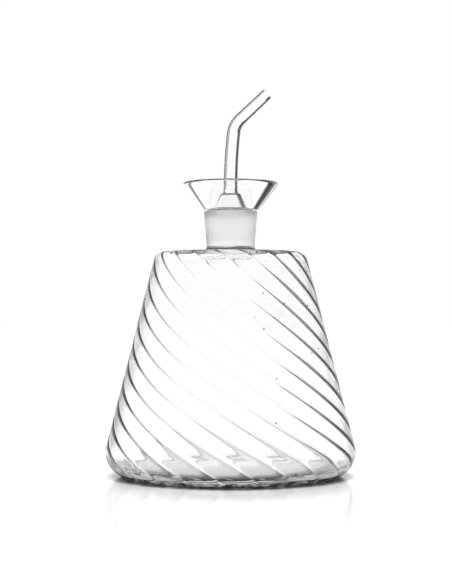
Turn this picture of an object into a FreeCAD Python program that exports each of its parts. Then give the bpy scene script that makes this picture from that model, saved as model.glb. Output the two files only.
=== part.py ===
# Oil cruet of clear borosilicate glass: a cone-shaped flask with twisted optic ribs and a ground neck,
# and a stopper blown in one piece, whose hollow ground plug carries a drip funnel and a bent pouring tube.
# Units are millimetres. The origin is the middle of the foot, +Z is up and the tube pours towards +X.
import FreeCAD, Part
import math
import os
import Sketcher

document = FreeCAD.newDocument("cruet")
vector = FreeCAD.Vector


# ---------------------------------------------------------------- sizes
sizeTable = [
    ("baseRadius", 59.3, "radius of the wall's cone at the table, before the heel is rounded"),
    ("shoulderRadius", 33.6, "radius of the wall's cone at the shoulder, before it is rounded"),
    ("shoulderHeight", 100.5, "height of the shoulder's outer corner"),
    ("shoulderRise", 1.9, "how far the shoulder climbs from its corner to the neck"),
    ("heelRound", 11.0, "rounding between the foot and the wall"),
    ("shoulderRound", 4.6, "rounding between the wall and the shoulder"),
    ("wall", 2.3, "thickness of the wall, measured level"),
    ("shoulderWall", 2.4, "thickness of the shoulder"),
    ("baseWall", 3.6, "thickness of the base"),
    ("innerHeelRound", 8.0, "rounding inside, between the floor and the wall"),
    ("innerShoulderRound", 3.0, "rounding inside, between the wall and the shoulder"),
    ("kickRadius", 37.0, "radius of the hollow under the base"),
    ("kickRise", 1.8, "height of the hollow under the base"),
    ("neckHeight", 16.5, "height of the neck, from the shoulder to its rim"),
    ("neckWall", 2.35, "thickness of the neck at its rim"),
    ("neckFootWall", 1.65, "thickness of the neck at its foot"),
    ("neckFillet", 1.3, "fillet between the shoulder and the neck"),
    ("lipRound", 0.7, "rounding of the neck's rim"),
    ("rimChamfer", 0.4, "lead-in at the mouth of the neck's bore"),
    ("ribCount", 20, "number of ribs round the flask"),
    ("ribDepth", 1.0, "depth of the groove between two ribs"),
    ("ribSharpness", 2.6, "power of the rib's section: 2 is a round arc, more has a narrower groove"),
    ("heelTwist", 1.1, "turn of the ribs in degrees for each millimetre of outline, at the foot"),
    ("wallTwist", 1.84, "the same, up the wall"),
    ("shoulderTwist", 2.5, "the same, over the shoulder"),
    ("ribPhase", -3.0, "turn of the whole rib pattern in degrees"),
    ("jointRadius", 9.8, "radius of the ground bore at the neck's rim"),
    ("jointTaper", 0.1, "taper of the ground joint, in diameter over length"),
    ("jointGap", 0.1, "clearance between the plug and the bore"),
    ("rimGap", 0.4, "clearance between the funnel's foot and the neck's rim"),
    ("plugLength", 13.4, "length of the plug below the neck's rim"),
    ("plugWall", 1.7, "thickness of the plug's wall"),
    ("funnelOverhang", 0.35, "how far the funnel's foot stands out past the neck"),
    ("funnelRimRadius", 22.1, "outer radius of the funnel's rim"),
    ("funnelHeight", 12.6, "height of the funnel, from its foot to its rim"),
    ("funnelWall", 2.3, "thickness of the funnel, measured level"),
    ("funnelFloor", 1.6, "thickness of the floor that joins the plug and the funnel"),
    ("domeFootRadius", 7.4, "outer radius of the dome where it stands on the floor"),
    ("domeTopRadius", 4.6, "outer radius of the dome's shoulder"),
    ("domeHeight", 5.9, "height of the dome's shoulder above the floor"),
    ("domeWall", 1.4, "thickness of the dome, measured level"),
    ("domeRound", 1.4, "rounding of the dome's shoulder"),
    ("tubeFoot", 3.0, "height of the tube's first, upright stretch above the dome's shoulder"),
    ("tubeRadius", 3.3, "outer radius of the tube at the dome"),
    ("tubeTipRadius", 2.75, "outer radius of the tube at its tip"),
    ("boreRadius", 2.1, "radius of the tube's bore at the dome"),
    ("boreTipRadius", 1.75, "radius of the tube's bore at its tip"),
    ("stemRise", 23.0, "height of the tube's stem, from the dome's stub to the bend"),
    ("stemBend", 220.0, "radius of the stem's own slight bend"),
    ("bendRadius", 14.0, "radius of the bend, to the middle of the tube"),
    ("spoutAngle", 46.6, "angle between the spout and the upright, in degrees"),
    ("spoutLength", 15.4, "length of the tube above its bend"),
    ("drainRadius", 1.0, "radius of the hole that returns the drips, at the foot of the dome"),
]

sheet = document.addObject("Spreadsheet::Sheet", "Sizes")
for row, (alias, value, note) in enumerate(sizeTable, start=1):
    sheet.set(f"A{row}", note)
    sheet.set(f"B{row}", str(value))
    sheet.setAlias(f"B{row}", alias)
document.recompute()


def size(alias):
    return float(sheet.get(alias))


neckFootHeight = "(Sizes.shoulderHeight + Sizes.shoulderRise)"
neckTop = "(Sizes.shoulderHeight + Sizes.shoulderRise + Sizes.neckHeight)"
jointSlope = "Sizes.jointTaper / 2"


# ---------------------------------------------------------------- helpers for the bodies
def originPlane(body, role):
    return next(plane for plane in body.Origin.OriginFeatures if plane.Role == role)


def planeSketch(body, name, role):
    sketch = body.newObject("Sketcher::SketchObject", name)
    sketch.AttachmentSupport = (originPlane(body, role), [""])
    sketch.MapMode = "FlatFace"
    return sketch


def bind(sketch, constraint, name, formula):
    index = sketch.addConstraint(constraint)
    sketch.renameConstraint(index, name)
    sketch.setExpression(f"Constraints.{name}", formula)


def profileSketch(body, name, corners):
    """A closed outline of straight lines, whose corners are (name, distance from the axis, height).

    The lines start as a plain polygon, and the bound distances pull each corner to its place.
    A distance of None puts the corner on the axis."""
    sketch = planeSketch(body, name, "XZ_Plane")
    count = len(corners)
    polygon = []
    for index in range(count):
        angle = 2 * math.pi * index / count
        polygon.append(vector(20 + 10 * math.cos(angle), 20 + 10 * math.sin(angle), 0))
    for index in range(count):
        sketch.addGeometry(Part.LineSegment(polygon[index], polygon[(index + 1) % count]), False)
    for index in range(count):
        sketch.addConstraint(Sketcher.Constraint("Coincident", index, 2, (index + 1) % count, 1))
    for index, (corner, across, height) in enumerate(corners):
        if across is None:
            sketch.addConstraint(Sketcher.Constraint("PointOnObject", index, 1, -2))
        else:
            bind(sketch, Sketcher.Constraint("DistanceX", -1, 1, index, 1, 20.0), corner + "Across", across)
        bind(sketch, Sketcher.Constraint("DistanceY", -1, 1, index, 1, 20.0), corner + "Height", height)
    return sketch


def revolve(body, sketch, name):
    turned = body.newObject("PartDesign::Revolution", name)
    turned.Profile = sketch
    turned.ReferenceAxis = (sketch, ["V_Axis"])
    turned.Angle = 360
    document.recompute()
    return turned


def roundRings(body, sketch, corners, rings):
    """Fillets the rings that the named corners of the profile turn into. Each is (corner, radius formula)."""
    names = [corner[0] for corner in corners]
    for corner, radius in rings:
        place = sketch.Geometry[names.index(corner)].StartPoint
        feature = body.Tip
        found = []
        for index, edge in enumerate(feature.Shape.Edges, start=1):
            if isinstance(edge.Curve, Part.Circle) and abs(edge.Curve.Radius - place.x) < 1e-3:
                if abs(edge.Curve.Center.z - place.y) < 1e-3:
                    found.append(f"Edge{index}")
        fillet = body.newObject("PartDesign::Fillet", "Round" + corner[0].upper() + corner[1:])
        fillet.Base = (feature, found)
        fillet.setExpression("Radius", radius)
        document.recompute()


# ---------------------------------------------------------------- flask, outside
def roundedOutline(corners):
    """Tangent lines and arcs through (radius from the axis, height, rounding), as edges in the XZ plane."""
    edges = []
    places = [vector(across, 0, height) for across, height, _ in corners]
    last = places[0]
    for index in range(1, len(corners) - 1):
        corner = places[index]
        back = (places[index - 1] - corner).normalize()
        ahead = (places[index + 1] - corner).normalize()
        half = back.getAngle(ahead) / 2
        rounding = corners[index][2]
        reach = rounding / math.tan(half)
        middle = (back + ahead).normalize()
        centre = corner + middle * (rounding / math.sin(half))
        start = corner + back * reach
        finish = corner + ahead * reach
        if last.distanceToPoint(start) > 1e-6:
            edges.append(Part.LineSegment(last, start).toShape())
        edges.append(Part.Arc(start, centre - middle * rounding, finish).toShape())
        last = finish
    edges.append(Part.LineSegment(last, places[-1]).toShape())
    return edges


def smoothStep(value):
    value = min(max(value, 0.0), 1.0)
    return value * value * (3 - 2 * value)


def flaskOutline():
    """Outside of the flask from the foot to the neck's rim: heel, wall, corner, shoulder, fillet, neck, lip."""
    footRadius = size("baseRadius") - size("heelRound") / math.tan(wallAngle() / 2)
    neckFoot = size("shoulderHeight") + size("shoulderRise")
    neckTop = neckFoot + size("neckHeight")
    boreFootRadius = size("jointRadius") - size("neckHeight") * size("jointTaper") / 2
    rimRadius = size("jointRadius") + size("neckWall")
    edges = roundedOutline([
        (footRadius, 0, 0),
        (size("baseRadius"), 0, size("heelRound")),
        (size("shoulderRadius"), size("shoulderHeight"), size("shoulderRound")),
        (boreFootRadius + size("neckFootWall"), neckFoot, size("neckFillet")),
        (rimRadius, neckTop, size("lipRound")),
        (rimRadius - 1.5 * size("lipRound"), neckTop, 0),
    ])
    return edges


def wallAngle():
    """Angle inside the glass between the foot and the wall."""
    return math.atan2(size("shoulderHeight"), size("baseRadius") - size("shoulderRadius"))


def ribStations():
    """Places up the outline, as (point, outward normal, turn of the ribs in degrees, share of the full depth).

    The turn is the twist added up along the outline. The depth grows over the heel and fades over the shoulder."""
    heel, wall, corner, shoulder, fillet, neck, lip = flaskOutline()[:7]
    twists = {
        "heel": (size("heelTwist"), size("wallTwist")),
        "wall": (size("wallTwist"), size("wallTwist")),
        "corner": (size("wallTwist"), size("shoulderTwist")),
        "shoulder": (size("shoulderTwist"), size("shoulderTwist")),
        "plain": (0.0, 0.0),
    }
    depths = {
        "heel": (0.0, 1.0),
        "wall": (1.0, 1.0),
        "corner": (1.0, 1.0),
        "shoulder": (1.0, 0.0),
        "plain": (0.0, 0.0),
    }
    stretches = [(heel, "heel", 8), (wall, "wall", 18), (corner, "corner", 6), (shoulder, "shoulder", 6)]
    stretches += [(fillet, "plain", 3), (neck, "plain", 3), (lip, "plain", 3)]
    stations = []
    turn = size("ribPhase")
    for edge, kind, steps in stretches:
        firstTwist, lastTwist = twists[kind]
        firstDepth, lastDepth = depths[kind]
        stride = edge.Length / steps
        for step in range(steps if edge is not lip else steps + 1):
            share = step / steps
            place = edge.getParameterByLength(stride * step)
            along = edge.tangentAt(place)
            outward = vector(along.z, 0, -along.x)
            depth = firstDepth + (lastDepth - firstDepth) * smoothStep(share)
            stations.append((edge.valueAt(place), outward, turn, depth))
            middle = firstTwist + (lastTwist - firstTwist) * (step + 0.5) / steps
            turn -= middle * stride
    return stations


def ribStrip(stations):
    """One rib from foot to rim, as a smooth surface through its sections.

    A section runs from groove to groove. Its depth below the outline is ribDepth times |place| ** ribSharpness,
    where place goes from -1 in one groove over 0 on the crest to 1 in the next groove."""
    halfPitch = 180 / size("ribCount")
    places = [math.sin(math.pi / 2 * step / 3) for step in range(-3, 4)]
    grid = []
    for point, outward, turn, depth in stations:
        section = []
        for place in places:
            sunk = size("ribDepth") * depth * abs(place) ** size("ribSharpness")
            angle = math.radians(turn + place * halfPitch)
            flat = point - outward * sunk
            section.append(vector(flat.x * math.cos(angle), flat.x * math.sin(angle), flat.z))
        grid.append(section)
    surface = Part.BSplineSurface()
    surface.interpolate(grid)
    return surface.toShape()


def ribbedForm():
    """The solid outer form: the strip repeated round the axis, closed by the foot and by the plane of the rim."""
    strip = ribStrip(ribStations())
    count = int(size("ribCount"))
    strips = []
    for index in range(count):
        copy = strip.copy()
        copy.rotate(vector(0, 0, 0), vector(0, 0, 1), 360 * index / count)
        strips.append(copy)
    caps = []
    top = max(vertex.Point.z for vertex in strip.Vertexes)
    for height in (0.0, top):
        ring = []
        for face in strips:
            for edge in face.Edges:
                if all(abs(vertex.Point.z - height) < 1e-6 for vertex in edge.Vertexes):
                    ring.append(edge)
        caps.append(Part.Face(Part.Wire(Part.__sortEdges__(ring))))
    shell = Part.Shell(strips + caps)
    shell.sewShape()
    form = Part.Solid(shell)
    if form.Volume < 0:
        form.reverse()
    return form


outside = document.addObject("Part::Feature", "RibbedForm")
outside.Shape = ribbedForm()
outside.Placement = FreeCAD.Placement()


# ---------------------------------------------------------------- flask, inside
wallSlope = "(Sizes.baseRadius - Sizes.shoulderRadius) / Sizes.shoulderHeight"
shoulderUnder = "(Sizes.shoulderHeight - Sizes.shoulderWall)"
neckUnder = f"({neckFootHeight} - Sizes.shoulderWall)"

cavity = document.addObject("PartDesign::Body", "Cavity")
cavityCorners = [
    ("floorMiddle", None, "Sizes.baseWall + Sizes.kickRise"),
    ("heel", f"Sizes.baseRadius - Sizes.wall - {wallSlope} * Sizes.baseWall", "Sizes.baseWall"),
    ("shoulder", f"Sizes.baseRadius - Sizes.wall - {wallSlope} * {shoulderUnder}", shoulderUnder),
    ("neckFoot", f"Sizes.jointRadius - ({neckTop} - {neckUnder}) * {jointSlope}", neckUnder),
    ("mouth", f"Sizes.jointRadius - Sizes.rimChamfer * {jointSlope}", f"{neckTop} - Sizes.rimChamfer"),
    ("mouthEdge", "Sizes.jointRadius + 2 * Sizes.rimChamfer", f"{neckTop} + Sizes.rimChamfer"),
    ("mouthMiddle", None, f"{neckTop} + Sizes.rimChamfer"),
]
cavityProfile = profileSketch(cavity, "CavityProfile", cavityCorners)
revolve(cavity, cavityProfile, "CavityTurned")
roundRings(cavity, cavityProfile, cavityCorners, [
    ("heel", "Sizes.innerHeelRound"),
    ("shoulder", "Sizes.innerShoulderRound"),
    ("neckFoot", "Sizes.neckFillet + Sizes.shoulderWall / 2"),
])

# the hollow under the base is a shallow cap of a large ball
kick = document.addObject("Part::Sphere", "Kick")
kickBall = "(Sizes.kickRadius ^ 2 + Sizes.kickRise ^ 2) / (2 * Sizes.kickRise)"
kick.setExpression("Radius", kickBall)
kick.setExpression("Placement.Base.z", f"Sizes.kickRise - {kickBall}")

hollowed = document.addObject("Part::Cut", "Hollowed")
hollowed.Base = outside
hollowed.Tool = cavity
flask = document.addObject("Part::Cut", "Flask")
flask.Base = hollowed
flask.Tool = kick
flask.Label = "flask"
document.recompute()


# ---------------------------------------------------------------- stopper
stopper = document.addObject("PartDesign::Body", "Stopper")
stopper.Label = "stopper"
plugEnd = f"({neckTop} - Sizes.plugLength)"
foot = f"({neckTop} + Sizes.rimGap)"
floor = f"({foot} + Sizes.funnelFloor)"
rim = f"({foot} + Sizes.funnelHeight)"
domeTop = f"({floor} + Sizes.domeHeight)"
tubeStart = f"({domeTop} + Sizes.tubeFoot)"
plugRadius = "(Sizes.jointRadius - Sizes.jointGap)"
footRadius = "(Sizes.jointRadius + Sizes.neckWall + Sizes.funnelOverhang)"
funnelSlope = f"(Sizes.funnelRimRadius - {footRadius}) / Sizes.funnelHeight"
stopperCorners = [
    ("plugBore", f"{plugRadius} - Sizes.plugLength * {jointSlope} - Sizes.plugWall", plugEnd),
    ("plugEdge", f"{plugRadius} - Sizes.plugLength * {jointSlope}", plugEnd),
    ("plugTop", f"{plugRadius} + Sizes.rimGap * {jointSlope}", foot),
    ("funnelFoot", footRadius, foot),
    ("rimOutside", "Sizes.funnelRimRadius", rim),
    ("rimInside", "Sizes.funnelRimRadius - Sizes.funnelWall", rim),
    ("gutter", f"{footRadius} + {funnelSlope} * Sizes.funnelFloor - Sizes.funnelWall", floor),
    ("domeFoot", "Sizes.domeFootRadius", floor),
    ("domeShoulder", "Sizes.domeTopRadius", domeTop),
    ("tubeFoot", "Sizes.tubeRadius", f"{domeTop} + (Sizes.domeTopRadius - Sizes.tubeRadius) / 2"),
    ("tubeOutside", "Sizes.tubeRadius", tubeStart),
    ("tubeInside", "Sizes.boreRadius", tubeStart),
    ("boreFoot", "Sizes.boreRadius", f"{domeTop} + Sizes.domeWall / 3"),
    ("domeCeiling", "Sizes.domeTopRadius - Sizes.domeWall", f"{domeTop} - Sizes.domeWall / 3"),
    ("domeInside", "Sizes.domeFootRadius - Sizes.domeWall", floor),
    ("plugCeiling", f"{plugRadius} - Sizes.plugWall", f"{foot} - Sizes.plugWall"),
]
stopperProfile = profileSketch(stopper, "StopperProfile", stopperCorners)
revolve(stopper, stopperProfile, "StopperTurned")
roundRings(stopper, stopperProfile, stopperCorners, [
    ("rimOutside", "Sizes.funnelWall * 0.35"),
    ("rimInside", "Sizes.funnelWall * 0.35"),
    ("gutter", "Sizes.funnelWall / 2"),
    ("domeFoot", "Sizes.domeWall / 2"),
    ("domeShoulder", "Sizes.domeRound"),
    ("tubeFoot", "Sizes.domeRound"),
    ("plugEdge", "Sizes.plugWall / 4"),
    ("plugBore", "Sizes.plugWall / 4"),
    ("funnelFoot", "Sizes.funnelFloor / 3"),
])


def bentSpine(body, name):
    """Middle line of the tube: the stem's easy arc, which starts upright, the bend's arc and the straight spout."""
    start = vector(0, body.Shape.BoundBox.ZMax, 0)
    stem = size("stemBend")
    bend = size("bendRadius")
    lean = math.asin(size("stemRise") / stem)
    turn = math.radians(size("spoutAngle"))
    stemCentre = start + vector(stem, 0, 0)
    bendStart = stemCentre + vector(-math.cos(lean), math.sin(lean), 0) * stem
    bendCentre = bendStart + vector(math.cos(lean), -math.sin(lean), 0) * bend
    bendEnd = bendCentre + vector(-math.cos(turn), math.sin(turn), 0) * bend
    tip = bendEnd + vector(math.sin(turn), math.cos(turn), 0) * size("spoutLength")
    sketch = planeSketch(body, name, "XZ_Plane")
    axis = vector(0, 0, 1)
    stemCircle = Part.Circle(stemCentre, axis, stem)
    bendCircle = Part.Circle(bendCentre, axis, bend)
    sketch.addGeometry(Part.ArcOfCircle(stemCircle, math.pi - lean, math.pi), False)
    sketch.addGeometry(Part.ArcOfCircle(bendCircle, math.pi - turn, math.pi - lean), False)
    sketch.addGeometry(Part.LineSegment(bendEnd, tip), False)
    sketch.addConstraint(Sketcher.Constraint("PointOnObject", 0, 2, -2))
    sketch.addConstraint(Sketcher.Constraint("Tangent", 0, 1, 1, 2))
    sketch.addConstraint(Sketcher.Constraint("Tangent", 1, 1, 2, 1))
    bind(sketch, Sketcher.Constraint("DistanceY", -1, 1, 0, 2, start.y), "start", tubeStart)
    bind(sketch, Sketcher.Constraint("DistanceY", -1, 1, 0, 3, start.y), "upright", tubeStart)
    bind(sketch, Sketcher.Constraint("Radius", 0, stem), "stemBend", "Sizes.stemBend")
    bind(sketch, Sketcher.Constraint("DistanceY", 0, 2, 0, 1, size("stemRise")), "stemRise", "Sizes.stemRise")
    bind(sketch, Sketcher.Constraint("Radius", 1, bend), "bend", "Sizes.bendRadius")
    bind(sketch, Sketcher.Constraint("Distance", 2, size("spoutLength")), "spout", "Sizes.spoutLength")
    spoutSlope = "90 deg - Sizes.spoutAngle * 1 deg"
    bind(sketch, Sketcher.Constraint("Angle", 2, math.pi / 2 - turn), "slope", spoutSlope)
    return sketch


def ringSketch(body, name, spine, spineEdge, share, radius):
    """A circle square to the spine, at that share of one of its edges."""
    sketch = body.newObject("Sketcher::SketchObject", name)
    sketch.AttachmentSupport = (spine, [spineEdge])
    sketch.MapMode = "NormalToEdge"
    sketch.MapPathParameter = share
    sketch.addGeometry(Part.Circle(vector(0, 0, 0), vector(0, 0, 1), 2.0), False)
    sketch.addConstraint(Sketcher.Constraint("Coincident", 0, 3, -1, 1))
    bind(sketch, Sketcher.Constraint("Radius", 0, 2.0), "radius", radius)
    return sketch


def taperedPipe(body, kind, name, spine, footRadius, tipRadius):
    """Carries a circle along the spine, from one radius to the other."""
    first = ringSketch(body, name + "Foot", spine, "Edge1", 0.0, footRadius)
    last = ringSketch(body, name + "Tip", spine, "Edge3", 1.0, tipRadius)
    document.recompute()
    pipe = body.newObject(kind, name)
    pipe.Profile = first
    pipe.Spine = spine
    pipe.Sections = [last]
    pipe.Transformation = "Multisection"
    document.recompute()
    return pipe


spine = bentSpine(stopper, "TubeSpine")
document.recompute()
tube = taperedPipe(stopper, "PartDesign::AdditivePipe", "Tube", spine, "Sizes.tubeRadius", "Sizes.tubeTipRadius")
bore = taperedPipe(stopper, "PartDesign::SubtractivePipe", "Bore", spine, "Sizes.boreRadius", "Sizes.boreTipRadius")

# the drips in the funnel run back through a small hole behind the dome, which also lets the air in
drainSketch = planeSketch(stopper, "DrainSketch", "XZ_Plane")
drainSketch.addGeometry(Part.Circle(vector(0, 120, 0), vector(0, 0, 1), 1.0), False)
drainSketch.addConstraint(Sketcher.Constraint("PointOnObject", 0, 3, -2))
drainHeight = f"{floor} + Sizes.drainRadius + Sizes.domeWall / 4"
bind(drainSketch, Sketcher.Constraint("DistanceY", -1, 1, 0, 3, 120.0), "height", drainHeight)
bind(drainSketch, Sketcher.Constraint("Radius", 0, 1.0), "radius", "Sizes.drainRadius")
drain = stopper.newObject("PartDesign::Pocket", "Drain")
drain.Profile = drainSketch
drain.setExpression("Length", "Sizes.domeFootRadius + Sizes.domeWall / 2")
drain.Reversed = False
document.recompute()


# ---------------------------------------------------------------- checks and files
def cutSomething(feature):
    """A cut that points away from the glass removes nothing and shows no error."""
    return feature.BaseFeature.Shape.Volume - feature.Shape.Volume > 1.0


for item in document.Objects:
    if {"Invalid", "Error"} & set(item.State):
        raise RuntimeError(f"{item.Name} failed: {item.State}")
for cut in (bore, drain):
    if not cutSomething(cut):
        raise RuntimeError(f"{cut.Name} cuts nothing")

os.makedirs("parts", exist_ok=True)
for piece in (flask, stopper):
    if piece.Shape.isNull() or not piece.Shape.isValid() or len(piece.Shape.Solids) != 1:
        raise RuntimeError(f"{piece.Label} is not one valid solid")
    piece.Shape.exportStep(f"parts/{piece.Label}.step")
    print(f"{piece.Label}: {piece.Shape.Volume / 1000:.2f} cm3, centre {piece.Shape.Solids[0].CenterOfMass}")
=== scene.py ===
# Oil cruet of clear blown glass: a cone-shaped flask with twisted optic ribs, and a stopper
# whose ground plug carries a drip funnel, a small dome and a bent pouring tube.
# Shapes are worked out in millimetres and turned into metres when a mesh is made.
import bpy
import numpy as np
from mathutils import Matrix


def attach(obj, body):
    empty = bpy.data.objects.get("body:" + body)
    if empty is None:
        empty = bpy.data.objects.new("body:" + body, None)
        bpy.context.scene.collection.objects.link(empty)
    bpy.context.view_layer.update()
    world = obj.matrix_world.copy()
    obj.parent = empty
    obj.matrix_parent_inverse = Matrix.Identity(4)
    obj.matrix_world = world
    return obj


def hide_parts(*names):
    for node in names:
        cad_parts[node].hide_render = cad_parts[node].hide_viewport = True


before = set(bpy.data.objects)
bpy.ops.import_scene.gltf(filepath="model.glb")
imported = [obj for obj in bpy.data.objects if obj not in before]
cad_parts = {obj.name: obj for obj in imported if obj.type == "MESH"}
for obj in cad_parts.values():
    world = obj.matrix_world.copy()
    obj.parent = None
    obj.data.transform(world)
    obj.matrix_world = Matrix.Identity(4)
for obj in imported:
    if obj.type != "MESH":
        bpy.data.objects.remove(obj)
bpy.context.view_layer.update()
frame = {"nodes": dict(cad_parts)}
scene = bpy.context.scene
print("frame loaded:", ", ".join(frame["nodes"]))

# a sight line crosses many faces of glass, so the light paths are long
lightPaths = {
    "max_bounces": 32,
    "transmission_bounces": 32,
    "diffuse_bounces": 16,
    "glossy_bounces": 16,
    "transparent_max_bounces": 16,
}
scene.view_settings.view_transform = "Standard"
for setting, bounces in lightPaths.items():
    setattr(scene.cycles, setting, bounces)

camera = {
    "distance": 0.661,    # from the axis of the flask
    "height": 0.0756,     # eye level, a little under the middle of the whole
    "lens": 90.6,
    "shiftX": -0.0079,
    "shiftY": 0.0265,
}


def makeCamera():
    data = bpy.data.cameras.new("camera")
    data.lens = camera["lens"]
    data.shift_x = camera["shiftX"]
    data.shift_y = camera["shiftY"]
    eye = bpy.data.objects.new("camera", data)
    eye.location = (0, -camera["distance"], camera["height"])
    eye.rotation_euler = (np.pi / 2, 0, 0)
    scene.collection.objects.link(eye)
    scene.camera = eye


makeCamera()
print("camera set")


# One output socket of a shader tree. Operators on wires and numbers add Math nodes.
class Wire:
    def __init__(self, tree, socket):
        self.tree = tree
        self.socket = socket

    def maths(self, operation, first, second):
        node = self.tree.nodes.new("ShaderNodeMath")
        node.operation = operation
        for place, value in enumerate((first, second)):
            if isinstance(value, Wire):
                self.tree.links.new(value.socket, node.inputs[place])
            else:
                node.inputs[place].default_value = value
        return Wire(self.tree, node.outputs[0])

    def __add__(self, other):
        return self.maths("ADD", self, other)

    def __sub__(self, other):
        return self.maths("SUBTRACT", self, other)

    def __rsub__(self, other):
        return self.maths("SUBTRACT", other, self)

    def __mul__(self, other):
        return self.maths("MULTIPLY", self, other)

    def __pow__(self, other):
        return self.maths("POWER", self, other)

    def larger(self, other):
        return self.maths("MAXIMUM", self, other)

    __radd__ = __add__
    __rmul__ = __mul__


# The emptied tree of a material or the world.
class ShaderTree:
    def __init__(self, owner):
        owner.use_nodes = True
        self.tree = owner.node_tree
        self.tree.nodes.clear()

    # kind is the node's type without "ShaderNode". Its settings come first, then values or wires
    # for its sockets, by name with _ for a space, or by place as i0, i1 and so on.
    def add(self, kind, settings=None, output=0, **sockets):
        node = self.tree.nodes.new("ShaderNode" + kind)
        for setting, value in (settings or {}).items():
            setattr(node, setting, value)
        for name, value in sockets.items():
            place = int(name[1:]) if name[0] == "i" and name[1:].isdigit() else name.replace("_", " ")
            if isinstance(value, Wire):
                self.tree.links.new(value.socket, node.inputs[place])
            else:
                node.inputs[place].default_value = value
        return Wire(self.tree, node.outputs[output]) if len(node.outputs) else None

    # Goes from low to high while the value goes from start to full.
    def ramp(self, value, start, full, low=0.0, high=1.0, interpolation="SMOOTHSTEP"):
        return self.add("MapRange", {"interpolation_type": interpolation}, Value=value,
                        From_Min=start, From_Max=full, To_Min=low, To_Max=high)

    def attribute(self, name, output):
        return self.add("Attribute", {"attribute_name": name}, output=output)

    def finish(self, surface, kind="OutputMaterial"):
        self.add(kind, Surface=surface)


glass = {
    "tint": (0.984, 0.984, 0.984, 1),
    "ior": 1.47,
    "waveSize": 55.0,       # waves per metre of the slight unevenness that blowing leaves
    "waveStrength": 0.05,
    "waveDepth": 0.0006,
    # the dark, dull surface that is mixed in as painted shade
    "darkRoughness": 0.5,
    "darkSpecular": 0.1,
}

# Painted shade: dark bands near the glass's edges, along its ribs and on the stopper stand in for the dark that
# the glass bends in from around it; a dark, dull surface is mixed over the clear glass where the surface turns
# away, and the leaning normals, turned round the axis, put more of it on one side. A kind of face has a band on
# the leaning normals, and some have a plain one on the even normals. In a band,
#   reach      is how far the surface turns away, 0 to 1, less narrowing times the edge attribute
#   ramp       is the reach where the band starts and where it is full
#   strength   is how dark it is when full
#   fade       is the reach where it starts to fade, where it is faded, and the share left then
#   dim        is the same on how far the surface turns away, without the narrowing
#   side       is the same from left to right, in metres
# A band lies on the face as it is met from within the glass if fromInside, else from outside.
glassKinds = {
    "clear": {
        "lean": 10.0,           # degrees round the axis by which the leaning normals are turned
        "leaning": {"narrowing": 1.0, "ramp": (0.31, 0.37), "strength": 0.95},
        "plain": {"narrowing": 1.0, "ramp": (0.25, 0.33), "strength": 0.62, "fade": (0.36, 0.7, 0.5)},
        "shade": 0.02,
        "fromInside": True,
    },
    "inner": {
        "lean": 5.0,
        "tint": (0.99, 0.994, 0.992, 1),
        "leaning": {"narrowing": 1.0, "ramp": (0.37, 0.43), "strength": 0.4},
        "plain": {"narrowing": 1.0, "ramp": (0.24, 0.31), "strength": 0.4},
        "shade": 0.02,
        "fromInside": True,
    },
    "funnel": {
        "leaning": {"narrowing": 1.0, "ramp": (0.31, 0.32), "strength": 0.98, "fade": (0.385, 0.395, 0.1)},
        "plain": {"narrowing": 1.0, "ramp": (0.232, 0.245), "strength": 0.85, "fade": (0.26, 0.28, 0.1)},
        "shade": 0.01,
        "fromInside": True,
    },
    # painted shade: dark lines round the neck's fillet and round the dome's foot and shoulder
    "paintedShadeLine": {
        "leaning": {"narrowing": 0.0, "ramp": (-2.0, -1.0), "strength": 0.9},   # dark all over
        "shade": 0.03,
        "fromInside": False,
    },
    "funnelOuter": {
        "lean": 20.0,
        "leaning": {"narrowing": 0.0, "ramp": (0.69, 0.74), "strength": 0.78, "fade": (0.84, 0.89, 0.3)},
        "shade": 0.01,
        "fromInside": False,
    },
    # painted shade: a wavy dark line along the underside of the heel
    "base": {
        "wander": 3.2,          # how much the reach varies by chance
        "wanderSize": 230.0,    # how often it does, per metre
        "leaning": {"narrowing": 0.0, "ramp": (-0.2, 1.0), "strength": 0.92},
        "shade": 0.02,
        "fromInside": False,
    },
    "ribbed": {
        "lean": 22.0,
        "tint": (0.978, 0.986, 0.982, 1),
        # share of the turn from the ribs to the even wall, for light that leaves the glass through them,
        # so that the ribs of the far wall stay a faint pattern behind those of the near wall
        "farWallEvenness": 1.0,
        "wander": 0.2,
        "wanderSize": 90.0,
        "leaning": {"narrowing": 2.0, "ramp": (0.11, 0.24), "strength": 0.72, "dim": (0.72, 1.0, 0.5)},
        "plain": {"narrowing": 2.4, "ramp": (-0.06, 0.36), "strength": 0.6, "dim": (0.6, 0.95, 0.35),
                  "side": (-0.01, 0.03, 0.3)},
        # painted shade: grey patches near the flask's outline; the chance value at their rim and in their middle,
        # and the share of grey between them
        "shadePatch": {"patches": (0.38, 0.6, 0.1), "ramp": (0.42, 0.85), "strength": 0.42},
        # short upright streaks and small bubbles, both on the right half only
        "streaks": {"scale": (130.0, 130.0, 620.0), "ramp": (0.5, 0.68), "strength": 0.12, "side": (0.008, 0.03)},
        "seeds": {"perMetre": 170.0, "ramp": (0.056, 0.096), "strength": 0.9, "side": (0.0, 0.02)},
        "shade": 0.02,
        "fromInside": False,
    },
}
groundGlass = {
    "tint": (1, 1, 1, 1),
    "topTint": (0.8, 0.81, 0.815, 1),   # where the funnel's floor shades it
    "topRamp": (0.1145, 0.1185),        # heights in metres
    "shadowTint": (0.8, 0.8, 0.8, 1),
    "roughness": 0.64,
    "clouding": 0.12,                   # how much rougher it is in the clouds
    "cloudSize": 180.0,
    "ior": 1.2,
    "grainSize": 2600.0,
    "grainStrength": 0.6,
    "grainDepth": 0.00003,
}


# Light comes straight through the glass to the floor and to what stands inside it.
def passShadows(shader, surface, tint):
    clear = shader.add("BsdfTransparent", Color=tint)
    shadow = shader.add("LightPath", output="Is Shadow Ray")
    return shader.add("MixShader", i0=shadow, i1=surface, i2=clear)


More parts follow.
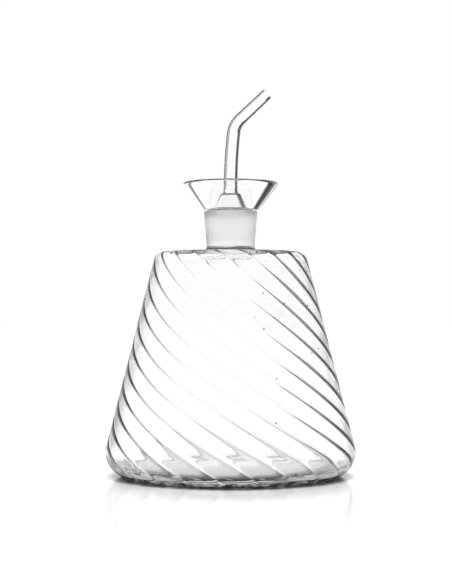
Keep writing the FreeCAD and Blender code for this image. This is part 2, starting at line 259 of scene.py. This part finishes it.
# How far the surface turns away from the sight line, 0 to 1, by the normals kept in an attribute.
def turnedAway(shader, attribute):
    return shader.add("LayerWeight", output="Facing", Blend=0.5, Normal=shader.attribute(attribute, "Vector"))


# Share of painted shade in one band.
def darkBand(shader, band, away, edge, chance, side):
    reach = away - band["narrowing"] * edge
    if chance:
        reach = reach + chance
    share = shader.ramp(reach, *band["ramp"], 0.0, band["strength"])
    for key, value in (("fade", reach), ("dim", away), ("side", side)):
        if key in band:
            start, end, left = band[key]
            share = share * shader.ramp(value, start, end, 1.0, left)
    return share


def shadePatches(shader, shadePatch, away, uneven):
    rim, middle, between = shadePatch["patches"]
    return shader.ramp(uneven, rim, middle, between) * shader.ramp(away, *shadePatch["ramp"], 0.0, shadePatch["strength"])


def streaksAndSeeds(shader, kind, place, side):
    streaks, seeds = kind["streaks"], kind["seeds"]
    stretched = shader.add("Mapping", Vector=place, Scale=streaks["scale"])
    fine = shader.add("TexNoise", Vector=stretched, Scale=1.0, Detail=3.0, Roughness=0.6)
    streaked = shader.ramp(fine, *streaks["ramp"], 0.0, streaks["strength"])
    near = shader.add("TexVoronoi", output="Distance", Vector=place, Scale=seeds["perMetre"])
    dots = shader.ramp(near, *seeds["ramp"], seeds["strength"], 0.0)
    streaked = streaked * shader.ramp(side, *streaks["side"], interpolation="LINEAR")
    return streaked.larger(dots * shader.ramp(side, *seeds["side"], interpolation="LINEAR"))


def glassMaterial(name):
    kind = glassKinds[name]
    material = bpy.data.materials.new(name + "Glass")
    shader = ShaderTree(material)
    place = shader.add("TexCoord", output="Object")
    side = shader.add("SeparateXYZ", output="X", i0=place)
    inside = shader.add("NewGeometry", output="Backfacing")
    normal = shader.add("NewGeometry", output="Normal")
    if "farWallEvenness" in kind:
        even = shader.attribute("evenNormal", "Vector")
        even = shader.add("VectorMath", {"operation": "SCALE"}, i0=even, Scale=-1.0)
        evenShare = inside * kind["farWallEvenness"]
        normal = shader.add("Mix", {"data_type": "VECTOR"}, output=1, i0=evenShare, i4=normal, i5=even)
    waves = shader.add("TexNoise", Vector=place, Scale=glass["waveSize"], Detail=1.0, Roughness=0.4)
    bump = shader.add("Bump", Height=waves, Strength=glass["waveStrength"], Distance=glass["waveDepth"],
                      Normal=normal)
    body = shader.add("BsdfPrincipled", Base_Color=kind.get("tint", glass["tint"]), Roughness=0.0,
                      IOR=glass["ior"], Transmission_Weight=1.0, Normal=bump)
    edge = shader.attribute("edge", "Fac")
    uneven = chance = None
    if "wander" in kind:
        uneven = shader.add("TexNoise", Vector=place, Scale=kind["wanderSize"], Detail=2.0, Roughness=0.55)
        chance = kind["wander"] * (uneven - 0.5)
    share = darkBand(shader, kind["leaning"], turnedAway(shader, "leaning"), edge, chance, side)
    if "plain" in kind:
        share = share.larger(darkBand(shader, kind["plain"], turnedAway(shader, "evenNormal"), edge, chance, side))
    if "shadePatch" in kind:
        share = share.larger(shadePatches(shader, kind["shadePatch"], turnedAway(shader, "evenNormal"), uneven))
        share = share.larger(streaksAndSeeds(shader, kind, place, side))
    # painted shade: a dark, dull surface mixed over the glass by the bands' share
    dark = shader.add("BsdfPrincipled", Base_Color=(kind["shade"],) * 3 + (1,), Roughness=glass["darkRoughness"],
                      Specular_IOR_Level=glass["darkSpecular"])
    seen = inside if kind["fromInside"] else 1 - inside
    surface = shader.add("MixShader", i0=share * seen, i1=body, i2=dark)
    shader.finish(passShadows(shader, surface, glass["tint"]))
    return material


def groundMaterial():
    look = groundGlass
    material = bpy.data.materials.new("groundGlass")
    shader = ShaderTree(material)
    place = shader.add("TexCoord", output="Object")
    grain = shader.add("TexNoise", Vector=place, Scale=look["grainSize"], Detail=2.0, Roughness=0.6)
    clouds = shader.add("TexNoise", Vector=place, Scale=look["cloudSize"], Detail=2.0, Roughness=0.5)
    bump = shader.add("Bump", Height=grain, Strength=look["grainStrength"], Distance=look["grainDepth"])
    height = shader.add("SeparateXYZ", output="Z", i0=place)
    tint = shader.add("Mix", {"data_type": "RGBA"}, output=2, i0=shader.ramp(height, *look["topRamp"]),
                      i6=look["tint"], i7=look["topTint"])
    body = shader.add("BsdfPrincipled", Base_Color=tint, Roughness=look["roughness"] + look["clouding"] * clouds,
                      IOR=look["ior"], Transmission_Weight=1.0, Normal=bump)
    shader.finish(passShadows(shader, body, look["shadowTint"]))
    return material


finishes = {name: glassMaterial(name) for name in glassKinds}
finishes["ground"] = groundMaterial()
print("materials made:", len(finishes))


# Straight runs between corners, each corner rounded by an arc that touches both runs. A corner is
# (distance from the axis, height, rounding, spacing of the rows on the run before it, spacing on its arc).
# Gives the points and, for each point, the number of its stretch: 2n for the run to corner n + 1, 2n + 1
# for the arc of corner n + 1.
def roundedPath(corners):
    places = np.array([corner[:2] for corner in corners], float)
    points, stretches = [], []
    last = places[0]
    for index in range(1, len(corners)):
        corner = places[index]
        rounding, runSpacing, arcSpacing = corners[index][2:]
        start = corner
        if rounding:
            back = (places[index - 1] - corner) / np.linalg.norm(places[index - 1] - corner)
            ahead = (places[index + 1] - corner) / np.linalg.norm(places[index + 1] - corner)
            half = np.arccos(np.clip(back @ ahead, -1, 1)) / 2
            start = corner + back * rounding / np.tan(half)
        steps = max(1, int(np.ceil(np.linalg.norm(start - last) / runSpacing)))
        share = np.arange(steps)[:, None] / steps
        points.append(last + (start - last) * share)
        stretches.append(np.full(steps, 2 * index - 2))
        last = start
        if rounding:
            middle = (back + ahead) / np.linalg.norm(back + ahead)
            side = (back - ahead) / np.linalg.norm(back - ahead)
            centre = corner + middle * rounding / np.sin(half)
            swing = np.pi / 2 - half
            steps = max(2, int(np.ceil(2 * swing * rounding / arcSpacing)))
            turn = swing - 2 * swing * np.arange(steps)[:, None] / steps
            points.append(centre - rounding * (middle * np.cos(turn) - side * np.sin(turn)))
            stretches.append(np.full(steps, 2 * index - 1))
            last = corner + ahead * rounding / np.tan(half)
    points.append(last[None, :])
    stretches.append(np.array([2 * len(corners) - 4]))
    return np.concatenate(points), np.concatenate(stretches)


# A grid of rings as a closed mesh: quads between neighbouring rings, all round. With poles, the first and
# the last ring are single points, otherwise the last ring joins the first. A row's number in finishOfRow
# picks its finish from the names.
def ringMesh(name, grid, poles, names, finishOfRow):
    rows, columns = grid.shape[:2]
    ring = np.arange(columns)
    following = np.roll(ring, -1)
    if poles:
        vertices = np.concatenate([grid[:1, 0], grid[1:-1].reshape(-1, 3), grid[-1:, 0]])
        lower = 1 + np.arange(rows - 3)[:, None] * columns
        upper = lower + columns
        rowOfQuad = np.repeat(np.arange(1, rows - 2), columns)
    else:
        vertices = grid.reshape(-1, 3)
        lower = np.arange(rows)[:, None] * columns
        upper = np.roll(lower, -1, axis=0)
        rowOfQuad = np.repeat(np.arange(rows), columns)
    quads = np.stack([lower + ring, lower + following, upper + following, upper + ring], axis=2)
    faces = quads.reshape(-1, 4).tolist()
    finish = finishOfRow[rowOfQuad].tolist()
    if poles:
        top = 1 + (rows - 3) * columns
        faces += np.stack([np.zeros(columns, int), 1 + following, 1 + ring], axis=1).tolist()
        faces += np.stack([np.full(columns, len(vertices) - 1), top + ring, top + following], axis=1).tolist()
        finish += [finishOfRow[0]] * columns + [finishOfRow[-1]] * columns
    mesh = bpy.data.meshes.new(name)
    mesh.from_pydata((vertices * 0.001).tolist(), [], faces)
    for finishName in names:
        mesh.materials.append(finishes[finishName])
    mesh.polygons.foreach_set("material_index", np.array(finish, dtype=np.int32))
    mesh.polygons.foreach_set("use_smooth", np.ones(len(faces), dtype=bool))
    mesh.update()
    piece = bpy.data.objects.new(name, mesh)
    scene.collection.objects.link(piece)
    return piece


# The normals of the even form are kept on the piece, turned round the upright axis: evenNormal back by
# leanBack degrees, leaning on by lean degrees. The edge attribute delays the painted shade bands where it is high.
def keepNormals(even, piece, lean, edge, leanBack=0.0):
    normals = np.empty(len(even.data.vertices) * 3, dtype=np.float32)
    even.data.vertex_normals.foreach_get("vector", normals)
    x, y, z = normals.reshape(-1, 3).T
    for name, turn in (("evenNormal", np.radians(-leanBack)), ("leaning", np.radians(lean))):
        turned = np.stack([x * np.cos(turn) - y * np.sin(turn), x * np.sin(turn) + y * np.cos(turn), z], axis=1)
        layer = piece.data.attributes.new(name, "FLOAT_VECTOR", "POINT")
        layer.data.foreach_set("vector", turned.astype(np.float32).ravel())
    layer = piece.data.attributes.new("edge", "FLOAT", "POINT")
    layer.data.foreach_set("value", edge.astype(np.float32).ravel())


noBand = 5.0    # an edge so high that no dark band shows

flaskForm = {
    "baseRadius": 59.3,
    "shoulderRadius": 33.6,
    "shoulderHeight": 100.5,
    "shoulderRise": 0.9,
    "heelRound": 11.0,
    "shoulderRound": 4.6,
    "wall": 2.3,
    "shoulderWall": 2.4,
    "baseWall": 3.6,
    "innerHeelRound": 7.0,
    "innerShoulderRound": 3.0,
    "kickRadius": 37.0,             # of the shallow hollow under the base
    "kickRise": 1.8,
    "neckHeight": 17.5,
    "neckWall": 2.35,
    "neckFootWall": 1.65,
    "neckFillet": 1.7,
    "lipRound": 0.7,
    "rimChamfer": 0.4,
    "jointRadius": 9.8,
    "jointSlope": 0.05,
    "ribs": {
        "count": 20,
        "depth": 0.5,
        "topShare": 0.6,            # share of the depth that is left at the shoulder
        "sharpness": 6.0,
        # degrees per millimetre at the foot and at the ends of the heel, the wall, its corner and the shoulder
        "twist": (1.1, 1.95, 1.72, 2.5, 2.5),
        "phase": -3.0,
        "drift": (-6.4, 4.2),       # degrees by which they crowd to one side, at the heel and at the shoulder
        "columns": 14,              # of the mesh, in one rib
    },
    "finishes": ("ribbed", "ground", "inner", "paintedShadeLine", "base"),
    # where the painted shade bands are held back or brought on
    "edge": {
        "offRibs": 0.6,             # added where the ribs fade out
        # added on the right half, by height, and where that half sets in
        "delayHeights": (30, 40, 62, 84, 95),
        "delays": (0.12, 0.07, 0.055, 0, 0.04),
        "delaySide": (-0.1, 0.15),
        # the most on the shoulder's arc, where the ribs have less than this share of their depth
        "shoulder": 0.12,
        "shoulderDepth": 0.6,
        # the most on the heel's arc, by how far the outline faces up, and more on the crests
        "heelOutward": (-1, -0.8, -0.6),
        "heel": (0, 0.08, 0.8),
        "heelCrest": 0.2,
    },
    "heelShadeOutward": -0.8,            # the heel is painted dark, as shade, where it faces up less than this
    "shadeLineOutward": 0.5,             # the neck's fillet is painted dark, as shade, where it faces up more than this
}


# Corners of the outline from the foot to the rim, the wall's slope and the height of the rim.
def flaskOutside():
    form = flaskForm
    lean = form["baseRadius"] - form["shoulderRadius"]
    halfHeel = np.arctan2(form["shoulderHeight"], lean) / 2
    footRadius = form["baseRadius"] - form["heelRound"] / np.tan(halfHeel)
    neckFoot = form["shoulderHeight"] + form["shoulderRise"]
    neckTop = neckFoot + form["neckHeight"]
    boreFoot = form["jointRadius"] - form["neckHeight"] * form["jointSlope"]
    rim = form["jointRadius"] + form["neckWall"]
    return [
        (footRadius - 0.5, 0, 0, 1, 1),
        (form["baseRadius"], 0, form["heelRound"], 1, 0.7),
        (form["shoulderRadius"], form["shoulderHeight"], form["shoulderRound"], 1, 0.35),
        (boreFoot + form["neckFootWall"], neckFoot, form["neckFillet"], 0.9, 0.35),
        (rim, neckTop, form["lipRound"], 2.5, 0.25),
        (rim - 1.5 * form["lipRound"], neckTop, 0, 1, 1),
    ], lean / form["shoulderHeight"], neckTop


# Corners from the rim down the bore and the inner wall to the middle of the floor.
def flaskInside(slope, neckTop):
    form = flaskForm
    mouth, chamfer, floor = form["jointRadius"], form["rimChamfer"], form["baseWall"]
    under = form["shoulderHeight"] - form["shoulderWall"]
    neckUnder = under + form["shoulderRise"]
    wallInside = form["baseRadius"] - form["wall"]
    return [
        (mouth + chamfer, neckTop, 0.15, 1, 0.1),
        (mouth, neckTop - chamfer, 0.15, 1, 0.1),
        (mouth - form["jointSlope"] * (neckTop - neckUnder), neckUnder,
         form["neckFillet"] + form["shoulderWall"] / 2, 2.5, 0.4),
        (wallInside - slope * under, under, form["innerShoulderRound"], 1.2, 0.4),
        (wallInside - slope * floor, floor, form["innerHeelRound"], 1.6, 1.0),
        (0, floor + form["kickRise"], 0, 6, 1),
    ]


# Turn of the ribs and share of their depth along the outside, found for any point by its nearest place there.
# The turn is the twist added up along the outline; the depth grows over the heel and fades over the shoulder.
class RibLaw:
    def __init__(self, outline, ribs):
        fine = [(across, height, rounding, 0.05, 0.05) for across, height, rounding, _, _ in outline]
        self.points, stretch = roundedPath(fine)
        steps = np.linalg.norm(np.diff(self.points, axis=0), axis=1)
        run = np.concatenate([[0], np.cumsum(steps)])
        ends = [run[stretch >= number][0] for number in (1, 2, 3, 4, 5)]
        twist = np.interp(run, ends, ribs["twist"]) * (run >= ends[0]) * (run <= ends[4])
        self.turn = ribs["phase"] - np.concatenate([[0], np.cumsum((twist[1:] + twist[:-1]) / 2 * steps)])
        share = np.interp(run, ends, (0, 1, 1, 1, 0))
        self.depth = share ** 2 * (3 - 2 * share)
        along = np.gradient(self.points, axis=0)
        along /= np.linalg.norm(along, axis=1, keepdims=True)
        self.outward = np.stack([along[:, 1], -along[:, 0]], axis=1)

    def nearest(self, points):
        distances = np.linalg.norm(points[:, None, :] - self.points[None, :, :], axis=2)
        return np.argmin(distances, axis=1)


# Every ring has the same columns, which follow the twisted ribs. A rib goes from groove to groove, and its
# surface lies below the outline by depth times |place| ** sharpness, where place is 0 on the crest and 1 in a
# groove. The drift turns each point by a cosine of its angle, so that the ribs crowd on one side.
def makeFlask():
    form, ribs, look = flaskForm, flaskForm["ribs"], flaskForm["edge"]
    outline, slope, neckTop = flaskOutside()
    law = RibLaw(outline, ribs)
    kick, kickRise = form["kickRadius"], form["kickRise"]
    fromBelow = [(0, kickRise, 0, 1, 1), (kick * 0.5, kickRise * 0.75, 0, 6, 1), (kick, 0, 2.0, 6, 1)]
    profile, stretch = roundedPath(fromBelow + outline[1:-1] + flaskInside(slope, neckTop))
    height = profile[:, 1:]
    heelRun = 2 * len(fromBelow) - 2
    heel, shoulder, neckFoot, rimRun = heelRun + 1, heelRun + 3, heelRun + 5, heelRun + 8
    bore, innerWall = rimRun + 4, rimRun + 8
    isInside = (stretch >= rimRun)[:, None]

    nearest = law.nearest(profile)
    turn, depth, outward = law.turn[nearest], law.depth[nearest], law.outward[nearest]
    depth = np.where(stretch < heelRun, 0, depth)[:, None]
    halfRib = ribs["columns"] // 2
    places = np.sin(np.pi / 2 * np.arange(-halfRib, halfRib) / halfRib)
    place = np.tile(places, ribs["count"])[None, :]
    crest = np.repeat(np.arange(ribs["count"]), ribs["columns"])[None, :] * 360 / ribs["count"]
    deep = ribs["depth"] * np.interp(height, (0, form["shoulderHeight"]), (1, ribs["topShare"]))
    sunk = np.where(isInside, 0, depth * deep * np.abs(place) ** ribs["sharpness"])
    angle = np.radians(turn[:, None] + crest + place * 180 / ribs["count"])
    lowDrift, highDrift = ribs["drift"]
    drift = lowDrift + (highDrift - lowDrift) * np.clip(height / form["shoulderHeight"], 0, 1)
    angle = angle + np.radians(drift * np.cos(angle))

    number = form["finishes"].index
    finish = np.where(isInside[:, 0], number("inner"), number("ribbed"))
    finish[stretch == bore] = number("ground")
    # the heel's underside and the neck's fillet get finishes of painted shade
    finish[(stretch == heel) & (outward[:, 1] < form["heelShadeOutward"])] = number("base")
    finish[(stretch == neckFoot) & (outward[:, 1] > form["shadeLineOutward"])] = number("paintedShadeLine")
    pieces = []
    for sinking in (0, sunk):
        across = profile[:, :1] - outward[:, :1] * sinking
        up = height - outward[:, 1:] * sinking + 0 * place
        grid = np.stack([across * np.cos(angle), across * np.sin(angle), up], axis=2)
        pieces.append(ringMesh("flaskGlass", grid, True, form["finishes"], finish))
    even, piece = pieces

    onCrest = 1 - np.abs(place)
    edge = onCrest + look["offRibs"] * (1 - depth)
    delay = np.interp(height, look["delayHeights"], look["delays"])
    edge = edge + delay * np.interp(np.cos(angle), look["delaySide"], (0, 1))
    onHeel = np.interp(outward[:, 1:], look["heelOutward"], look["heel"]) + look["heelCrest"] * onCrest
    stretch = stretch[:, None]
    onShoulder = (stretch == shoulder) & (depth < look["shoulderDepth"])
    edge = np.where(onShoulder, np.minimum(edge, look["shoulder"]), edge)
    edge = np.where(stretch == heel, np.minimum(edge, onHeel), edge)
    edge = np.where((stretch == neckFoot) | (stretch == innerWall), 0, edge)
    edge = np.where((stretch < heelRun) | isInside & (stretch != innerWall), noBand, edge)
    lean = np.where(isInside, glassKinds["inner"]["lean"], glassKinds["ribbed"]["lean"]) + 0 * edge
    edge, lean = (np.concatenate([v[0, :1], v[1:-1].ravel(), v[-1, :1]]) for v in (edge, lean))
    keepNormals(even, piece, lean, edge)
    bpy.data.meshes.remove(even.data)
    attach(piece, "root")
    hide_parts("flask")
    return piece


flask = makeFlask()
print("flask made:", len(flask.data.polygons), "faces")

stopperForm = {
    "plugLength": 13.4,
    "plugWall": 1.7,
    "jointFit": 0.1,
    "rimClearance": 0.4,
    "funnelOverhang": 0.35,
    "funnelRimRadius": 22.1,
    "funnelHeight": 12.6,
    "funnelWall": 2.3,
    "funnelFloor": 0.8,
    "domeFootRadius": 7.4,
    "domeTopRadius": 4.6,
    "domeHeight": 6.7,
    "domeWall": 1.4,
    "domeRound": 1.4,
    "tubeFoot": 3.0,
    "tubeRadius": 3.3,
    "tubeTipRadius": 2.75,
    "boreRadius": 2.1,
    "boreTipRadius": 1.75,
    "stemRise": 24.4,
    "stemBend": 220.0,
    "bendRadius": 10.0,
    "spoutAngle": 46.6,
    "spoutLength": 16.8,
    "drainRadius": 1.0,
    "columns": 96,
    "stemRows": 12,
    "bendRows": 25,
    "spoutRows": 11,
    "finishes": ("clear", "ground", "funnel", "paintedShadeLine", "funnelOuter"),
    # where the painted shade bands are held back or brought on
    "edge": {
        "funnel": (0.04, 0),    # at the funnel's foot and at its rim
        "tip": -0.5,            # inside the tip, on the side that the tube pours to
        "tipSide": 0.75,
        "bend": -0.08,          # inside the bend, on the same side
    },
    "leanBack": 8.0,            # turn of the even normals in degrees, on the tube
    "domeLeanBack": -10.0,      # the same, inside the dome and the plug
    "shadeLineHeight": 0.36,         # height of the painted shade line round the dome's foot
    "topShadeLineHeight": 0.95,      # height of the one round its shoulder
}


# The tube's middle line: an easy arc that starts upright, a tighter arc and a straight spout.
# Gives distance from the axis, height and lean for each row.
def tubeLine(startHeight):
    form = stopperForm
    lean = np.arcsin(form["stemRise"] / form["stemBend"])
    spout = np.radians(form["spoutAngle"])
    stem = np.linspace(0, lean, form["stemRows"])
    bend = np.linspace(lean, spout, form["bendRows"] + 1)[1:]
    run = np.linspace(0, form["spoutLength"], form["spoutRows"] + 1)[1:]
    across = form["stemBend"] * (1 - np.cos(stem))
    height = startHeight + form["stemBend"] * np.sin(stem)
    bendAcross = across[-1] + form["bendRadius"] * (np.cos(lean) - np.cos(bend))
    bendHeight = height[-1] + form["bendRadius"] * (np.sin(bend) - np.sin(lean))
    across = np.concatenate([across, bendAcross, bendAcross[-1] + run * np.sin(spout)])
    height = np.concatenate([height, bendHeight, bendHeight[-1] + run * np.cos(spout)])
    return across, height, np.concatenate([stem, bend, np.full(len(run), spout)])


# The hole that lets the drips back in: a round pin from near the axis out through the back of the dome's
# foot is cut away.
def cutDrain(piece, height):
    form = stopperForm
    turn = np.arange(20) / 20 * 2 * np.pi
    start, end = 2.0, form["domeFootRadius"] + form["domeWall"]
    reach = np.array([start, start, end, end])[:, None]
    radius = np.array([0, form["drainRadius"], form["drainRadius"], 0])[:, None]
    grid = np.stack([-radius * np.cos(turn), reach + 0 * turn, height + radius * np.sin(turn)], axis=2)
    pin = ringMesh("drainPin", grid, True, ["clear"], np.zeros(4, dtype=int))
    cut = piece.modifiers.new("drain", "BOOLEAN")
    cut.operation = "DIFFERENCE"
    cut.solver = "EXACT"
    cut.object = pin
    bpy.context.view_layer.update()
    whole = piece.data
    piece.data = bpy.data.meshes.new_from_object(piece.evaluated_get(bpy.context.evaluated_depsgraph_get()))
    piece.data.name = whole.name
    piece.modifiers.clear()
    bpy.data.meshes.remove(whole)
    bpy.data.meshes.remove(pin.data)


# Heights of the funnel's foot and floor, the rim, the dome's shoulder and the tube's start.
def stopperHeights():
    form = stopperForm
    foot = sum(flaskForm[key] for key in ("shoulderHeight", "shoulderRise", "neckHeight")) + form["rimClearance"]
    floor = foot + form["funnelFloor"]
    domeTop = floor + form["domeHeight"]
    return foot, floor, foot + form["funnelHeight"], domeTop, domeTop + form["tubeFoot"]


# Corners up the outside of the plug, funnel and dome to the tube, and back down the inside.
def stopperOutlines():
    form = stopperForm
    foot, floor, rim, domeTop, tubeStart = stopperHeights()
    slope = flaskForm["jointSlope"]
    plugEnd = foot - form["rimClearance"] - form["plugLength"]
    plugWall, wall, domeWall = form["plugWall"], form["funnelWall"], form["domeWall"]
    plugRadius = flaskForm["jointRadius"] - form["jointFit"]
    plugFoot = plugRadius - form["plugLength"] * slope
    footRadius = flaskForm["jointRadius"] + flaskForm["neckWall"] + form["funnelOverhang"]
    funnelSlope = (form["funnelRimRadius"] - footRadius) / form["funnelHeight"]
    domeFoot, domeEdge = form["domeFootRadius"], form["domeTopRadius"]
    tube, bore = form["tubeRadius"], form["boreRadius"]
    outside = [
        (plugFoot - plugWall / 2, plugEnd, 0, 1, 1),
        (plugFoot, plugEnd, plugWall / 4, 1, 0.2),
        (plugRadius + form["rimClearance"] * slope, foot, 0.2, 2.5, 0.1),
        (footRadius, foot, form["funnelFloor"] / 3, 1, 0.15),
        (form["funnelRimRadius"], rim, wall * 0.35, 1.5, 0.15),
        (form["funnelRimRadius"] - wall, rim, wall * 0.35, 1, 0.15),
        (footRadius + funnelSlope * form["funnelFloor"] - wall, floor, wall / 2, 1.5, 0.2),
        (domeFoot, floor, domeWall / 2, 1, 0.15),
        (domeEdge, domeTop, form["domeRound"], 1, 0.2),
        (tube, domeTop + (domeEdge - tube) / 2, form["domeRound"], 1, 0.2),
        (tube, tubeStart, 0, 1, 1),
    ]
    inside = [
        (bore, tubeStart, 0, 1, 1),
        (bore, domeTop + domeWall / 3, 0.6, 1, 0.2),
        (domeEdge - domeWall, domeTop - domeWall / 3, 0.5, 1, 0.2),
        (domeFoot - domeWall, floor, 0.6, 1.2, 0.2),
        (plugRadius - plugWall, foot - plugWall, 0.8, 1, 0.2),
        (plugFoot - plugWall, plugEnd, plugWall / 4, 2.5, 0.2),
        (plugFoot - plugWall / 2, plugEnd, 0, 1, 1),
    ]
    return outside, inside


# One closed skin of rings: up the outside of the plug, funnel, dome and tube, round the tip and down the inside.
# A ring is a circle about (middle, 0, height) that leans by its tilt.
def makeStopper():
    form, look = stopperForm, stopperForm["edge"]
    foot, floor, rim, domeTop, tubeStart = stopperHeights()
    outside, inside = stopperOutlines()
    below, stretch = roundedPath(outside)
    below, stretch = below[:-1], stretch[:-1]
    under = roundedPath(inside)[0][1:-1]
    middle, height, tilt = tubeLine(tubeStart)
    tubeRows = len(middle)
    outer = np.linspace(form["tubeRadius"], form["tubeTipRadius"], tubeRows)
    bore = np.linspace(form["boreRadius"], form["boreTipRadius"], tubeRows)
    # the tip is a half round across the wall, as the flame leaves it
    half = (outer[-1] - bore[-1]) / 2
    swing = np.linspace(0, np.pi, 9)[1:-1]
    tipTilt = np.full(len(swing), tilt[-1])
    middle[-1] -= half * np.sin(tilt[-1])
    height[-1] -= half * np.cos(tilt[-1])
    tipMiddle = middle[-1] + half * np.sin(swing) * np.sin(tilt[-1])
    tipHeight = height[-1] + half * np.sin(swing) * np.cos(tilt[-1])
    tipRadius = bore[-1] + half + half * np.cos(swing)
    upright, uprightInside = np.zeros(len(below)), np.zeros(len(under))
    radius, ringHeight, ringMiddle, ringTilt = (np.concatenate(parts)[:, None] for parts in (
        (below[:, 0], outer, tipRadius, bore[::-1], under[:, 0]),
        (below[:, 1], height, tipHeight, height[::-1], under[:, 1]),
        (upright, middle, tipMiddle, middle[::-1], uprightInside),
        (upright, tilt, tipTilt, tilt[::-1], uprightInside),
    ))
    turn = (np.arange(form["columns"]) / form["columns"] * 2 * np.pi)[None, :]
    grid = np.stack([
        ringMiddle + radius * np.cos(turn) * np.cos(ringTilt),
        radius * np.sin(turn) + 0 * ringTilt,
        ringHeight - radius * np.cos(turn) * np.sin(ringTilt),
    ], axis=2)

    # stretches of the outside, as roundedPath numbers them
    plugSide, funnelOutside, funnelInside, domeFoot, domeSide, domeShoulder = 2, 6, 10, 13, 14, 15
    number = form["finishes"].index
    finish = np.full(len(grid), number("clear"))
    outsideFinish = finish[:len(below)]
    outsideFinish[stretch == plugSide] = number("ground")
    outsideFinish[stretch == funnelInside] = number("funnel")
    outsideFinish[stretch == funnelOutside] = number("funnelOuter")
    # the painted shade lines round the dome's foot and shoulder
    lowDome = ((stretch == domeFoot) | (stretch == domeSide)) & (below[:, 1] < floor + form["shadeLineHeight"])
    highDome = (stretch == domeShoulder) & (below[:, 1] > domeTop - form["topShadeLineHeight"])
    outsideFinish[lowDome | highDome] = number("paintedShadeLine")
    piece = ringMesh("stopperGlass", grid, False, form["finishes"], finish)

    firstBore = len(below) + tubeRows + len(swing)
    firstBend = firstBore + form["spoutRows"]
    onFunnel = np.flatnonzero(np.abs(stretch - funnelInside) <= 1)
    edge = np.zeros(grid.shape[:2])
    edge[:firstBore] = noBand
    edge[onFunnel] = np.interp(below[onFunnel, 1:], (foot, rim), look["funnel"])
    edge[ringHeight[:, 0] < foot] = noBand
    edge[firstBore:firstBore + 2] += look["tip"] * (np.cos(turn) > look["tipSide"])
    edge[firstBend:firstBend + form["bendRows"]] += look["bend"] * (np.cos(turn) > 0)
    leanBack = np.full(len(grid), form["leanBack"])
    leanBack[onFunnel] = 0
    leanBack[firstBore + tubeRows:] = form["domeLeanBack"]
    lean = np.full(len(grid), glassKinds["clear"]["lean"])
    lean[np.flatnonzero(np.abs(stretch - funnelOutside) <= 1)] = glassKinds["funnelOuter"]["lean"]
    lean, leanBack = (np.repeat(values, form["columns"]) for values in (lean, leanBack))
    keepNormals(piece, piece, lean, edge, leanBack)
    cutDrain(piece, floor + form["drainRadius"] + form["domeWall"] / 4)
    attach(piece, "root")
    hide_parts("stopper")
    return piece


stopper = makeStopper()
print("stopper made:", len(stopper.data.polygons), "faces")

studio = {
    "floorTint": (0.9, 0.9, 0.9, 1),
    "floorRoughness": 0.13,
    "floorSpecular": 0.15,
    "floorGlow": 0.25,
    "floorReach": 6.0,
    "contactReach": 0.0045,         # the floor's colour is darkened, as a painted contact shadow, where the glass stands nearer than this
    "contactDepth": 1.5,
    "contactRing": (0.040, 0.049),  # where that shade sets in, from the axis
    "contactMiddle": 0.12,          # its share nearer the axis
}


def makeFloor():
    material = bpy.data.materials.new("floor")
    shader = ShaderTree(material)
    # painted contact shadow: ambient occlusion, within a ring round the flask's foot, darkens the floor's colour
    # and glow
    contact = shader.add("AmbientOcclusion", {"samples": 12}, output="AO", Distance=studio["contactReach"])
    place = shader.add("TexCoord", output="Object")
    away = shader.add("VectorMath", {"operation": "LENGTH"}, output="Value", i0=place)
    rim = shader.ramp(away, *studio["contactRing"], studio["contactMiddle"], 1.0)
    shade = 1 - rim * (1 - contact ** studio["contactDepth"])
    colour = shader.add("Mix", {"data_type": "RGBA"}, output=2, i0=shade, i6=(0, 0, 0, 1), i7=studio["floorTint"])
    body = shader.add("BsdfPrincipled", Base_Color=colour, Roughness=studio["floorRoughness"],
                      Specular_IOR_Level=studio["floorSpecular"], Emission_Color=colour,
                      Emission_Strength=studio["floorGlow"])
    shader.finish(body)
    reach = studio["floorReach"]
    mesh = bpy.data.meshes.new("floor")
    corners = [(-reach, -reach, 0), (reach, -reach, 0), (reach, reach, 0), (-reach, reach, 0)]
    mesh.from_pydata(corners, [], [(0, 1, 2, 3)])
    mesh.materials.append(material)
    floor = bpy.data.objects.new("floor", mesh)
    scene.collection.objects.link(floor)


def makeWorld():
    world = bpy.data.worlds.new("studio")
    scene.world = world
    shader = ShaderTree(world)
    light = shader.add("Background", Color=(1, 1, 1, 1), Strength=1.0)
    shader.finish(light, "OutputWorld")


makeFloor()
makeWorld()
print("studio made")
